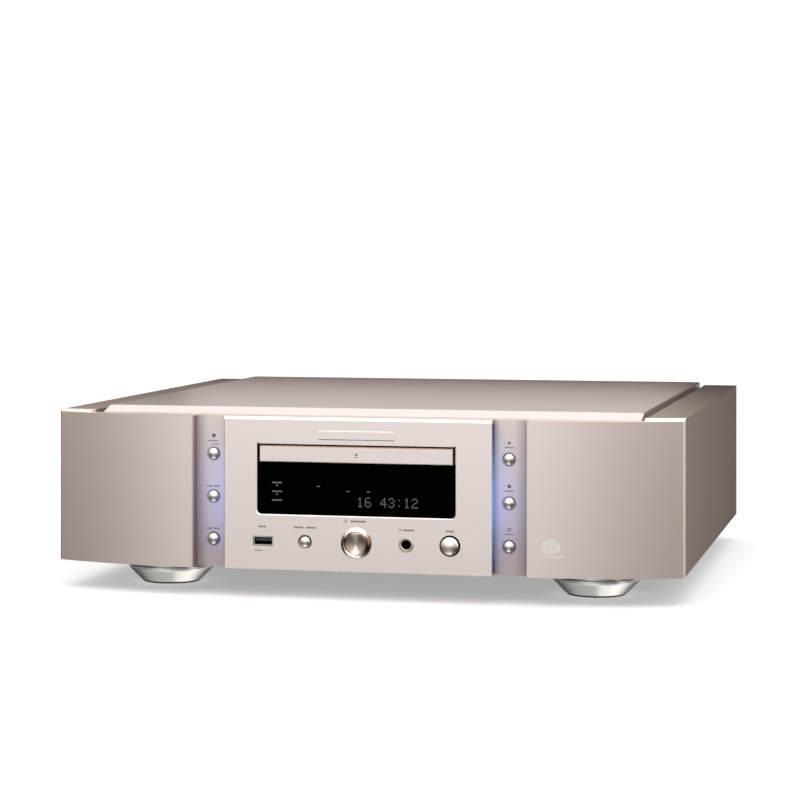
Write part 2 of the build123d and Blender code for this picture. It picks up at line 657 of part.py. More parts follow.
XLR_INSIDE, XLR_OUTSIDE = 9.6, 11.6
XLR_FLANGE = (13.0, 15.5)  # half width and half height
XLR_FLOOR = REAR_FACE - 16.0
XLR_LENGTH = 18.0
PIN_CIRCLE, PIN_RADIUS = 5.2, 1.2
with BuildPart() as balanced_sockets:
    for x, z in XLR:
        wide, high = XLR_FLANGE
        block((x - wide, x + wide), (REAR_FACE + PLAY, REAR_FACE + 2.5), (z - high, z + high))
        bore_front(x, z, XLR_OUTSIDE, (REAR_FACE - XLR_LENGTH, REAR_FACE + 0.5), mode=Mode.ADD)
        bore_front(x, z, XLR_INSIDE, (XLR_FLOOR, REAR_FACE + 3.0))
        for turn in (30, 150, 270):
            angle = math.radians(turn)
            pin = (x + PIN_CIRCLE * math.cos(angle), z + PIN_CIRCLE * math.sin(angle))
            bore_front(*pin, PIN_RADIUS, (XLR_FLOOR - 0.5, REAR_FACE - 1.0), mode=Mode.ADD)
    chamfer(balanced_sockets.edges().filter_by(Axis.Y).filter_by(lambda edge: edge.length < 3), 1.5)
save(balanced_sockets, "balanced_sockets")

OPTICAL_CASE, OPTICAL_MOUTH = (5.0, 5.0), (3.2, 3.0)  # half width and half height
USB_B_CASE, USB_B_MOUTH, USB_B_TONGUE = (6.0, 5.45), (4.3, 4.0), (2.8, 1.6)


def rear_block(at, half, inside, outside, mode=Mode.ADD):
    """Block through the rear panel, reaching that far inside and outside its face."""
    (x, z), (wide, high) = at, half
    block((x - wide, x + wide), (REAR_FACE - inside, REAR_FACE + outside), (z - high, z + high), mode=mode)


with BuildPart() as digital_sockets:
    for at in OPTICAL:
        rear_block(at, OPTICAL_CASE, 9.0, 1.5)
        rear_block(at, OPTICAL_MOUTH, 6.0, 2.0, mode=Mode.SUBTRACT)
    rear_block(USB_B, USB_B_CASE, 14.0, 1.2)
    rear_block(USB_B, USB_B_MOUTH, 10.0, 2.0, mode=Mode.SUBTRACT)
    rear_block(USB_B, USB_B_TONGUE, 10.5, -0.5)
save(digital_sockets, "digital_sockets")

INLET_DEPTH = 17.0
INLET_FLANGE = 3.0
INLET_CASE = (13.8, 10.0)  # half width and half height
INLET_CAVITY = (24.4, 16.6)
INLET_KEY = 4.5  # slant of the cavity's two upper corners
BLADES = ((-7.0, -2.0), (7.0, -2.0), (0.0, 2.0))
BLADE_HALF = (1.0, 2.0)
with BuildPart() as power_inlet:
    with BuildSketch(facing_front(REAR_FACE + INLET_FLANGE)) as flange:
        with Locations(INLET):
            RectangleRounded(48.0, 25.0, 4.0)
    extrude(amount=INLET_FLANGE - PLAY)
    rear_block(INLET, INLET_CASE, INLET_DEPTH + 2, 0.5)
    with BuildSketch(facing_front(REAR_FACE - INLET_DEPTH)) as cavity:
        with Locations(INLET):
            Rectangle(*INLET_CAVITY)
        chamfer(cavity.vertices().sort_by(Axis.Y)[-2:], INLET_KEY)
    extrude(amount=-(INLET_DEPTH + INLET_FLANGE + 1), mode=Mode.SUBTRACT)
    for shift_x, shift_z in BLADES:
        rear_block((INLET[0] + shift_x, INLET[1] + shift_z), BLADE_HALF, INLET_DEPTH + 0.5, -2.0)
save(power_inlet, "power_inlet")

# ---------------------------------------------------------------- feet
FOOT_TOP = FLOOR_BOTTOM - 0.05
FOOT_RIM = 30.4  # widest radius
FOOT_RIM_Z = (10.6, 12.2)
FOOT_NECK = 26.0
FOOT_TOE = (21.6, 1.3)  # radius and height of the lowest ring
FOOT_WELL = 5.0  # round the screw's head
PAD_RECESS = (20.6, 4.0)
HEAD_SEAT = 12.0
with BuildPart() as feet:
    for x, depth in FEET_AT:
        lathe_up(
            x,
            depth,
            [
                (FOOT_WELL, PAD_RECESS[1]),
                PAD_RECESS,
                (PAD_RECESS[0], FOOT_TOE[1]),
                FOOT_TOE,
                (FOOT_TOE[0] + 0.6, FOOT_TOE[1] + 0.6),
                (FOOT_RIM - 0.8, FOOT_RIM_Z[0] - 1.0),
                (FOOT_RIM, FOOT_RIM_Z[0]),
                (FOOT_RIM, FOOT_RIM_Z[1]),
                (FOOT_RIM - 0.4, FOOT_RIM_Z[1] + 0.4),
                (FOOT_NECK, FOOT_RIM_Z[1] + 0.4),
                (FOOT_NECK, FOOT_TOP),
                (FOOT_HOLE, FOOT_TOP),
                (FOOT_HOLE, HEAD_SEAT),
                (FOOT_WELL, HEAD_SEAT),
            ],
        )
save(feet, "feet")

PAD = ((6.0, 0.0), (PAD_RECESS[0] - 0.2, PAD_RECESS[1] - 0.1))  # inner radius and bottom, outer radius and top
PAD_CHAMFER = 0.4
with BuildPart() as foot_pads:
    (inner, low), (outer, high) = PAD
    for x, depth in FEET_AT:
        lathe_up(
            x,
            depth,
            [(inner, low), (outer - PAD_CHAMFER, low), (outer, low + PAD_CHAMFER), (outer, high), (inner, high)],
        )
save(foot_pads, "foot_pads")

FOOT_SCREW, FOOT_SCREW_HEAD = 2.2, 4.2
FOOT_SCREW_Z = (8.6, FLOOR_TOP + 3.0)
HEAD_TOP = HEAD_SEAT - 0.1
REAR_SCREW, REAR_SCREW_HEAD = 1.6, 3.0
REAR_SCREW_DOME = REAR_FACE + 1.9
REAR_SCREW_SEAT = REAR_FACE + 0.05
REAR_SCREW_TIP = REAR_FACE - 6.0
CROSS = (0.6, 3.2)
with BuildPart() as screws:
    for x, depth in FEET_AT:  # up through each foot into the floor
        low, high = FOOT_SCREW_Z
        head = [(0, low), (FOOT_SCREW_HEAD, low), (FOOT_SCREW_HEAD, HEAD_TOP)]
        lathe_up(x, depth, [*head, (FOOT_SCREW, HEAD_TOP), (FOOT_SCREW, high), (0, high)])
    for x, z in REAR_SCREWS:
        dome = REAR_SCREW_DOME
        outline = [
            (0, dome),
            (REAR_SCREW, dome - 0.15),
            (REAR_SCREW_HEAD - 0.1, dome - 1.0),
            (REAR_SCREW_HEAD, REAR_SCREW_SEAT),
        ]
        tail = [(REAR_SCREW, REAR_SCREW_SEAT), (REAR_SCREW, REAR_SCREW_TIP), (0, REAR_SCREW_TIP)]
        lathe_front(x, z, outline + tail)
        for size in (CROSS, CROSS[::-1]):  # cross recess
            with BuildSketch(facing_front(dome + 0.1)):
                with Locations((x, z)):
                    Rectangle(*size)
            extrude(amount=1.0, mode=Mode.SUBTRACT)
save(screws, "screws")

# ---------------------------------------------------------------- disc drawer
TRAY_BOTTOM = 95.4
TRAY_TOP = 101.4
TRAY_HALF = 66.5
TRAY_END = 150.0
ARM_END = 202.0
SLOT_HALF = 19.0
with BuildPart() as tray_door:
    block((OPENING_X - DOOR_HALF, OPENING_X + DOOR_HALF), (0.7, 5.6), (DOOR_BOTTOM, DOOR_TOP))
    chamfer(tray_door.faces().sort_by(Axis.Y)[0].edges().sort_by(Axis.Z)[-1], 1.1)
    chamfer(tray_door.faces().sort_by(Axis.Y)[0].edges().sort_by(Axis.Z)[0:3], 0.5)
save(tray_door, "tray_door")

PINION_DEPTH = 46.0
MODULE = 1.0
PINION_TEETH = 20
PITCH_RADIUS = MODULE * PINION_TEETH / 2
PITCH = math.pi * MODULE
BACKLASH = 0.3
PRESSURE = math.radians(20)
RACK_LINE = -57.0
GEAR_Z = (92.9, 95.0)
RACK_TEETH = 51

with BuildPart() as disc_tray:
    block((-TRAY_HALF, TRAY_HALF), (5.6, TRAY_END), (TRAY_BOTTOM, TRAY_TOP))
    for side in (-1, 1):
        block(sorted((side * 60.0, side * TRAY_HALF)), (TRAY_END, ARM_END), (TRAY_BOTTOM, TRAY_TOP))
    with Locations((0, back(DISC_DEPTH), TRAY_TOP)):
        Cylinder(60.6, 4.0, mode=Mode.SUBTRACT)  # disc well, half of its height in the tray
        Cylinder(40.6, 7.0, mode=Mode.SUBTRACT)  # deeper well for the small disc
        Cylinder(SLOT_HALF, 20.0, mode=Mode.SUBTRACT)
    block((-SLOT_HALF, SLOT_HALF), (DISC_DEPTH, TRAY_END + 1), (TRAY_BOTTOM - 1, TRAY_TOP + 1), mode=Mode.SUBTRACT)
    # toothed rack under the left edge
    first = PINION_DEPTH - 2.5 * PITCH
    block((-62.0, RACK_LINE - 1.25), (first - 2, first + RACK_TEETH * PITCH), (GEAR_Z[0], TRAY_BOTTOM))
    half = (PITCH / 2 - BACKLASH) / 2
    slope = math.tan(PRESSURE)
    with BuildSketch(Plane.XY.offset(GEAR_Z[0])):
        with BuildLine():
            root, tip = -1.3, 0.95
            Polyline(
                (RACK_LINE + root, back(first) - half + root * slope),
                (RACK_LINE + tip, back(first) - half + tip * slope),
                (RACK_LINE + tip, back(first) + half - tip * slope),
                (RACK_LINE + root, back(first) + half - root * slope),
                close=True,
            )
        tooth = make_face()
        for count in range(1, RACK_TEETH):
            add(tooth.moved(Location((0, count * PITCH, 0))))
    extrude(amount=TRAY_BOTTOM - GEAR_Z[0])
save(disc_tray, "disc_tray")


def gear_outline(teeth, pitch_radius):
    """Points of an involute gear's outline about the origin, its first tooth on the +X axis."""
    base = pitch_radius * math.cos(PRESSURE)
    outside = pitch_radius + 0.95 * MODULE
    root = pitch_radius - 1.3 * MODULE
    half_angle = (PITCH / 2 - BACKLASH) / 2 / pitch_radius
    involute_pitch = math.tan(PRESSURE) - PRESSURE
    flank = []
    for step in range(5):
        radius = base + (outside - base) * step / 4
        roll = math.acos(min(1.0, base / radius))
        flank.append((radius, half_angle + involute_pitch - (math.tan(roll) - roll)))
    points = []
    for tooth_number in range(teeth):
        centre = 2 * math.pi * tooth_number / teeth
        side = [(root, flank[0][1] + 0.02), *flank]
        for radius, angle in [(r, -a) for r, a in side] + [(r, a) for r, a in reversed(side)]:
            points.append((radius * math.cos(centre + angle), radius * math.sin(centre + angle)))
    return points


PINION_X = RACK_LINE + PITCH_RADIUS
PULLEY_RADIUS = 17.0
MOTOR_X = -8.0
MOTOR_DEPTH = 40.0
MOTOR_PULLEY_RADIUS = 4.0
BELT_Z = (84.4, 86.4)
with BuildPart() as loading_pinion:
    with BuildSketch(Plane(origin=(PINION_X, back(PINION_DEPTH), GEAR_Z[0]))):
        with BuildLine():
            Polyline(*gear_outline(PINION_TEETH, PITCH_RADIUS), close=True)
        make_face()
    extrude(amount=GEAR_Z[1] - GEAR_Z[0])
    lathe_up(
        PINION_X,
        PINION_DEPTH,
        [
            (2.05, 83.0),
            (PULLEY_RADIUS + 1.5, 83.0),
            (PULLEY_RADIUS, 84.2),
            (PULLEY_RADIUS, 86.6),
            (PULLEY_RADIUS + 1.5, 87.8),
            (6.0, 87.8),
            (6.0, GEAR_Z[0] + 0.1),
            (2.05, GEAR_Z[0] + 0.1),
        ],
    )
    with Locations((PINION_X, back(PINION_DEPTH), 90)):
        Cylinder(2.05, 20, mode=Mode.SUBTRACT)
save(loading_pinion, "loading_pinion")

with BuildPart() as motor_pulley:
    lathe_up(
        MOTOR_X,
        MOTOR_DEPTH,
        [(0, 80.6), (1.0, 80.6), (1.0, 83.2), (5.2, 83.2), (4.0, 84.2), (4.0, 86.6), (5.2, 87.6), (0, 87.6)],
    )
save(motor_pulley, "motor_pulley")

BELT_CLEARANCE = 0.06
with BuildPart() as loading_belt:
    span_x, span_y = PINION_X - MOTOR_X, PINION_DEPTH - MOTOR_DEPTH
    span = math.hypot(span_x, span_y)
    lean = math.acos((PULLEY_RADIUS - MOTOR_PULLEY_RADIUS) / span)
    towards_motor = math.atan2(-span_y, -span_x)

    def belt_loop(extra):
        """Closed belt line round both pulleys, that far outside their grooves."""
        big, small = PULLEY_RADIUS + extra, MOTOR_PULLEY_RADIUS + extra
        big_centre, small_centre = Vector(PINION_X, back(PINION_DEPTH)), Vector(MOTOR_X, back(MOTOR_DEPTH))

        def on(centre, radius, angle):
            return centre + Vector(radius * math.cos(angle), radius * math.sin(angle))

        above, below = towards_motor + lean, towards_motor - lean
        Line(on(big_centre, big, above), on(small_centre, small, above))
        ThreePointArc(
            on(small_centre, small, above), on(small_centre, small, towards_motor), on(small_centre, small, below)
        )
        Line(on(small_centre, small, below), on(big_centre, big, below))
        ThreePointArc(
            on(big_centre, big, below), on(big_centre, big, towards_motor + math.pi), on(big_centre, big, above)
        )

    with BuildSketch(Plane.XY.offset(BELT_Z[0])):
        with BuildLine():
            belt_loop(BELT_CLEARANCE + 1.0)
        make_face()
        with BuildLine():
            belt_loop(BELT_CLEARANCE)
        make_face(mode=Mode.SUBTRACT)
    extrude(amount=BELT_Z[1] - BELT_Z[0])
save(loading_belt, "loading_belt")

with BuildPart() as loading_motor:
    lathe_up(MOTOR_X, MOTOR_DEPTH, [(1.05, 64.0), (12.0, 64.0), (12.0, 80.0), (1.05, 80.0)])
    lathe_up(MOTOR_X, MOTOR_DEPTH, [(0, 60.2), (3.0, 60.2), (3.0, 64.0), (0, 64.0)])
save(loading_motor, "loading_motor")

# ---------------------------------------------------------------- drive mechanism
MECH_HALF = 76.0
MECH_Z = (57.0, 60.0)
MECH_DEPTH = (25.0, 212.0)
with BuildPart() as mechanism_chassis:
    block((-MECH_HALF, MECH_HALF), MECH_DEPTH, MECH_Z)
    for side in (-1, 1):
        block(sorted((side * 72.0, side * MECH_HALF)), MECH_DEPTH, (MECH_Z[0], 110.0))
        # guides under and over the drawer's edge
        block(sorted((side * 63.5, side * 72.0)), MECH_DEPTH, (90.0, TRAY_BOTTOM - 0.3))
        block(sorted((side * 63.5, side * 72.0)), MECH_DEPTH, (TRAY_TOP + 0.3, 106.0))
        block(sorted((side * 110.0, side * 72.0)), (30.0, 44.0), (MECH_Z[0], MECH_Z[1]))
        block(sorted((side * 110.0, side * 72.0)), (190.0, 204.0), (MECH_Z[0], MECH_Z[1]))
        for depth in (37.0, 197.0):  # legs down to the floor
            block(sorted((side * 98.0, side * 108.0)), (depth - 5, depth + 5), (FLOOR_TOP + 0.1, MECH_Z[0]))
    with Locations((PINION_X, back(PINION_DEPTH), MECH_Z[1] - 0.5)):  # spindle that the pinion turns on
        Cylinder(2.0, GEAR_Z[1] - MECH_Z[1] + 0.3, align=(Align.CENTER, Align.CENTER, Align.MIN))
        Cylinder(5.0, 82.7 - MECH_Z[1] + 0.5, align=(Align.CENTER, Align.CENTER, Align.MIN))
    for x in (-36.0, 36.0):  # posts that carry the traverse
        for depth in (64.0, 170.0):
            with Locations((x, back(depth), MECH_Z[1] - 0.5)):
                Cylinder(3.0, 76.0 - MECH_Z[1], align=(Align.CENTER, Align.CENTER, Align.MIN))
save(mechanism_chassis, "mechanism_chassis")

with BuildPart() as mechanism_cover:
    block((-MECH_HALF, MECH_HALF), MECH_DEPTH, (110.1, 112.1))
    with Locations((0, back(DISC_DEPTH), 111)):
        Cylinder(14.5, 10, mode=Mode.SUBTRACT)
save(mechanism_cover, "mechanism_cover")

with BuildPart() as clamp_puck:
    lathe_up(
        0,
        DISC_DEPTH,
        [(0, 102.6), (16.0, 102.6), (16.0, 106.0), (13.6, 107.0), (13.6, 112.6), (17.0, 112.6), (17.0, 114.6), (0, 114.6)],
    )
save(clamp_puck, "clamp_puck")

with BuildPart() as turntable:
    lathe_up(
        0,
        DISC_DEPTH,
        [(0, 86.5), (1.0, 86.5), (1.0, 96.5), (15.0, 96.5), (15.0, 99.8), (7.4, 99.8), (7.4, 100.8), (6.0, 102.3), (0, 102.3)],
    )
save(turntable, "turntable")

with BuildPart() as spindle_motor:
    lathe_up(0, DISC_DEPTH, [(1.05, 80.1), (13.0, 80.1), (13.0, 91.0), (11.0, 92.5), (1.05, 92.5)])
save(spindle_motor, "spindle_motor")

ROD_X = 24.0
ROD_Z = 86.0
PICKUP_DEPTH = (90.0, 118.0)
PICKUP_TRAVEL = 34.0
SCREW_X = 33.0
with BuildPart() as traverse_plate:
    block((-42.0, 42.0), (58.0, 176.0), (78.0, 80.0))
    block((-20.0, 20.0), (92.0, 160.0), (77.0, 81.0), mode=Mode.SUBTRACT)
    for depth in ((60.0, 64.0), (160.0, 164.0)):  # bearers for the rods and the screw
        block((-28.0, -20.0), depth, (80.0, 89.0))
        block((20.0, 38.0), depth, (80.0, 89.0))
    for x, radius in ((-ROD_X, 1.5), (ROD_X, 1.5), (SCREW_X, 1.55)):
        bore_front(x, ROD_Z, radius, (59.0, 165.0))
    for x in (-36.0, 36.0):  # isolation bushes on the posts
        for depth in (64.0, 170.0):
            with Locations((x, back(depth), 76.0)):
                Cylinder(4.0, 2.0, align=(Align.CENTER, Align.CENTER, Align.MIN))
save(traverse_plate, "traverse_plate")

with BuildPart() as guide_rods:
    for x in (-ROD_X, ROD_X):
        bore_front(x, ROD_Z, 1.5, (59.5, 164.5), mode=Mode.ADD)
save(guide_rods, "guide_rods")

with BuildPart() as optical_pickup:
    block((-17.0, 17.0), PICKUP_DEPTH, (81.0, 92.0))
    block((-27.5, 36.5), (98.0, 110.0), (82.5, 89.5))
    with Locations((0, back(98.0), 92.0)):
        Cylinder(7.0, 3.0, align=(Align.CENTER, Align.CENTER, Align.MIN))
        Cylinder(3.0, 4.2, align=(Align.CENTER, Align.CENTER, Align.MIN))
    for x, radius in ((-ROD_X, 1.55), (ROD_X, 1.55), (SCREW_X, 1.65)):
        bore_front(x, ROD_Z, radius, (80.0, 130.0))
save(optical_pickup, "optical_pickup")

with BuildPart() as lead_screw:
    bore_front(SCREW_X, ROD_Z, 1.5, (60.5, 168.0), mode=Mode.ADD)
save(lead_screw, "lead_screw")

with BuildPart() as sled_motor:
    bore_front(SCREW_X, ROD_Z, 5.9, (168.2, 184.0), mode=Mode.ADD)
    block((SCREW_X - 5, SCREW_X + 5), (168.2, 184.0), (80.1, ROD_Z))
save(sled_motor, "sled_motor")

# ---------------------------------------------------------------- power and signal electronics
with BuildPart() as transformer:
    lathe_up(
        -150.0,
        140.0,
        [(6.0, FLOOR_TOP + 0.1), (50.0, FLOOR_TOP + 0.1), (52.0, 25.0), (52.0, 92.0), (49.0, 95.0), (6.0, 95.0)],
    )
    with Locations((-150.0, back(140.0), FLOOR_TOP + 0.1)):
        Cylinder(4.0, 78.0, align=(Align.CENTER, Align.CENTER, Align.MIN))
        with Locations((0, 0, 73.0)):
            Cylinder(9.0, 2.0, align=(Align.CENTER, Align.CENTER, Align.MIN))
save(transformer, "transformer")

BOARD_Z = (30.0, 31.6)


def circuit_board(x, depth):
    """Board on four posts from the floor."""
    block(x, depth, BOARD_Z)
    for post_x in (x[0] + 6, x[1] - 6):
        for post_depth in (depth[0] + 6, depth[1] - 6):
            with Locations((post_x, back(post_depth), FLOOR_TOP + 0.1)):
                Cylinder(3.0, BOARD_Z[0] - FLOOR_TOP, align=(Align.CENTER, Align.CENTER, Align.MIN))


with BuildPart() as power_board:
    circuit_board((-205.0, -95.0), (206.0, 385.0))
    for x in (-195.0, -105.0):  # heat sink walls
        block((x - 2, x + 2), (230.0, 300.0), (BOARD_Z[1] - 0.2, 75.0))
save(power_board, "power_board")

with BuildPart() as reservoir_capacitors:
    with Locations((-150.0, back(290.0), BOARD_Z[1] + 0.05)):
        with GridLocations(36.0, 40.0, 2, 4):
            Cylinder(15.0, 50.0, align=(Align.CENTER, Align.CENTER, Align.MIN))
save(reservoir_capacitors, "reservoir_capacitors")

with BuildPart() as audio_board:
    circuit_board((-80.0, 205.0), (230.0, 385.0))
    with Locations((75.0, back(300.0), BOARD_Z[1] - 0.2)):
        with GridLocations(34.0, 30.0, 6, 3):  # chips and film capacitors
            Box(14.0, 14.0, 6.0, align=(Align.CENTER, Align.CENTER, Align.MIN))
save(audio_board, "audio_board")

with BuildPart() as output_modules:
    with Locations((-50.0, back(345.0), BOARD_Z[1] + 0.05)):
        with GridLocations(26.0, 34.0, 2, 2):
            Box(22.0, 28.0, 18.0, align=(Align.CENTER, Align.CENTER, Align.MIN))
save(output_modules, "output_modules")
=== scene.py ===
import json
import math

import bpy
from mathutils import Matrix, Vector


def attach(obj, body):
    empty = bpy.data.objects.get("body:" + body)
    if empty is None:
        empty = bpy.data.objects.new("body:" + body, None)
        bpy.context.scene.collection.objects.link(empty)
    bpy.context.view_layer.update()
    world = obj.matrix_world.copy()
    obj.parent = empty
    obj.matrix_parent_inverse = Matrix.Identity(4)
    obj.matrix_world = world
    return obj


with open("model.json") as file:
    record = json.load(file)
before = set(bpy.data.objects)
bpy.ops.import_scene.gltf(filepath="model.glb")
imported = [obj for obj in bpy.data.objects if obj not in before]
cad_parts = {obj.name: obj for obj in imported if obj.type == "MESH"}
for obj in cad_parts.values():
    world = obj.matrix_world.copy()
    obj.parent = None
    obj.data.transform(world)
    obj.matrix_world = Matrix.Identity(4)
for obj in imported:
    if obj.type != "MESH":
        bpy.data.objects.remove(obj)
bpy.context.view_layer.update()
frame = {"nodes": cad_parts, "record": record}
NODES = frame["nodes"]
MM = 0.001
FRONT = -206.0  # Y of the centre panel's face, mm
CONTROL_Z = 38.8  # height of the row of controls, mm
USB_X, MODE_X, JACK_X, KNOB_X = -65.4, -36.0, 34.7, 64.7
WING_FACE = (350.0, 100.0, 116.0, 0.4)  # radius, centre's X, first X and step back of the wings' curve, mm
GRAIN = (0.3, 0.7)  # the noise's range that a metal's grain spans


def back(depth):
    """Y in millimetres of a plane that far behind the centre panel's face."""
    return FRONT + depth


# ---------------------------------------------------------------- materials
def shader(name, colour, metallic, roughness, **extra):
    """New material with a Principled shader; returns it, its node tree and the shader."""
    material = bpy.data.materials.new(name)
    material.use_nodes = True
    tree = material.node_tree
    principled = tree.nodes["Principled BSDF"]
    principled.inputs["Base Color"].default_value = (*colour, 1)
    principled.inputs["Metallic"].default_value = metallic
    principled.inputs["Roughness"].default_value = roughness
    for socket, value in extra.items():
        principled.inputs[socket.replace("_", " ")].default_value = value
    return material, tree, principled


def node(tree, kind, **values):
    """Adds a node; values set its properties, or its inputs by name or number."""
    made = tree.nodes.new(kind)
    for key, value in values.items():
        if hasattr(made, key):
            setattr(made, key, value)
        else:
            name = int(key[1:]) if key[1:].isdigit() else key.replace("_", " ")
            made.inputs[name].default_value = value
    return made


def place(tree):
    """Object coordinates in metres, which are the row frame's own on every CAD piece."""
    return node(tree, "ShaderNodeTexCoord").outputs["Object"]


def axes(tree, vector=None):
    """The X, Y and Z of a vector, or of the place on the object."""
    parts = node(tree, "ShaderNodeSeparateXYZ")
    tree.links.new(vector or place(tree), parts.inputs[0])
    return parts.outputs


def maths(tree, operation, a, b=None):
    """Maths on one or two values, each a number or another node's output."""
    made = node(tree, "ShaderNodeMath", operation=operation)
    for socket, value in zip(made.inputs, (a, b)):
        if value is None:
            continue
        if isinstance(value, (int, float)):
            socket.default_value = value
        else:
            tree.links.new(value, socket)
    return made.outputs[0]


def noise(tree, scale, detail=4.0, roughness=0.6):
    """Noise stretched by a different scale on each axis."""
    mapping = node(tree, "ShaderNodeMapping")
    mapping.inputs["Scale"].default_value = scale
    tree.links.new(place(tree), mapping.inputs["Vector"])
    texture = node(tree, "ShaderNodeTexNoise", Scale=1.0, Detail=detail, Roughness=roughness)
    tree.links.new(mapping.outputs["Vector"], texture.inputs["Vector"])
    return texture.outputs["Fac"]


def ramp(tree, value, low, high, start=0.0, end=1.0):
    """Value mapped from low..high to start..end."""
    made = node(tree, "ShaderNodeMapRange")
    for key, number in (("From Min", low), ("From Max", high), ("To Min", start), ("To Max", end)):
        made.inputs[key].default_value = number
    tree.links.new(value, made.inputs["Value"])
    return made.outputs["Result"]


def mixed(tree, factor, first, second, blend_type="MIX"):
    """Two colours mixed by a factor; the first may be another node's output."""
    mix = node(tree, "ShaderNodeMix", data_type="RGBA", blend_type=blend_type)
    if isinstance(first, tuple):
        mix.inputs[6].default_value = (*first, 1)
    else:
        tree.links.new(first, mix.inputs[6])
    mix.inputs[7].default_value = (*second, 1)
    tree.links.new(factor, mix.inputs["Factor"])
    return mix.outputs[2]


def tint(tree, principled, factor, first, second):
    """Base colour mixed between two colours."""
    tree.links.new(mixed(tree, factor, first, second), principled.inputs["Base Color"])


def bump(tree, principled, height, strength, distance):
    """Bump from a height value."""
    made = node(tree, "ShaderNodeBump", Strength=strength, Distance=distance)
    tree.links.new(height, made.inputs["Height"])
    tree.links.new(made.outputs["Normal"], principled.inputs["Normal"])


def grained(tree, principled, roughness, grain, depth=0.00002):
    """Fine grain in a metal's roughness and bump; grain is the noise's scale on each axis."""
    lines = noise(tree, grain, 6.0, 0.7)
    uneven = ramp(tree, lines, *GRAIN, roughness * 0.9, roughness * 1.1)
    tree.links.new(uneven, principled.inputs["Roughness"])
    bump(tree, principled, lines, 0.25, depth)
    return ramp(tree, lines, *GRAIN)


def shades(colour, contrast):
    """The colour a little darker and a little lighter."""
    return tuple(c * (1 - contrast) for c in colour), tuple(min(1, c * (1 + contrast)) for c in colour)


def brushed(name, colour, roughness, grain, contrast=0.05, depth=0.00002):
    """Satin metal with a fine grain."""
    material, tree, principled = shader(name, colour, 1.0, roughness)
    tint(tree, principled, grained(tree, principled, roughness, grain, depth), *shades(colour, contrast))
    return material


def plastic(name, colour, roughness, level=0.5):
    """Moulded plastic or rubber with a faint uneven tone."""
    material, tree, principled = shader(name, colour, 0.0, roughness, Specular_IOR_Level=level)
    tint(tree, principled, noise(tree, (900, 900, 900)), *shades(colour, 0.08))
    return material


def spun_painted_reflection(name, bright, dark, roughness, first, last):
    """Metal turned about the power button's axis, with a painted reflection in its base colour: bright above
    and below the axis, dark at its flanks.
    """
    material, tree, principled = shader(name, bright, 1.0, roughness)
    spot = axes(tree)
    across = maths(tree, "ABSOLUTE", spot["X"])
    upright = maths(tree, "ABSOLUTE", maths(tree, "SUBTRACT", spot["Z"], CONTROL_Z * MM))
    angle = maths(tree, "ARCTAN2", across, upright)
    # Painted reflection: base colour mixed from bright to dark by the angle away from the vertical.
    tint(tree, principled, ramp(tree, angle, first, last), bright, dark)
    return material


def light_guide_material():
    """Blue light that is strongest half way up the guide and fades to navy at its ends."""
    material, tree, principled = shader("light_guide", (0.01, 0.03, 0.1), 0.0, 0.4, Specular_IOR_Level=0.15)
    navy, blue = (0.03, 0.022, 0.11), (0.15, 0.34, 0.56)
    height = axes(tree)["Z"]
    middle = maths(tree, "MULTIPLY", ramp(tree, height, 0.022, 0.062), ramp(tree, height, 0.118, 0.078))
    tree.links.new(mixed(tree, middle, navy, blue), principled.inputs["Emission Color"])
    tree.links.new(ramp(tree, middle, 0, 1, 0.5, 0.9), principled.inputs["Emission Strength"])
    return material


def split_material(name, axis, limit, outer, inner):
    """Two finishes, each a colour, metallic and roughness: outer up to the limit, inner beyond it."""
    material, tree, principled = shader(name, *outer)
    side = ramp(tree, axes(tree)[axis], limit, limit + 0.00002)
    tint(tree, principled, side, outer[0], inner[0])
    tree.links.new(ramp(tree, side, 0, 1, outer[1], inner[1]), principled.inputs["Metallic"])
    tree.links.new(ramp(tree, side, 0, 1, outer[2], inner[2]), principled.inputs["Roughness"])
    return material


def grained_with_painted_falloff(name, front, rear, roughness, grain, contrast, **extra):
    """Satin metal with a fine grain and painted shade: its colour darkens from the front of the case to its
    rear, as the light falls off.
    """
    material, tree, principled = shader(name, front, 1.0, roughness, **extra)
    # Painted shade: base colour mixed from the front colour to the darker rear colour along Y.
    base = mixed(tree, ramp(tree, axes(tree)["Y"], -0.18, 0.20), front, rear)
    lines = grained(tree, principled, roughness, grain)
    uneven = mixed(tree, lines, base, (1 - 2 * contrast,) * 3, "MULTIPLY")
    tree.links.new(uneven, principled.inputs["Base Color"])
    return material


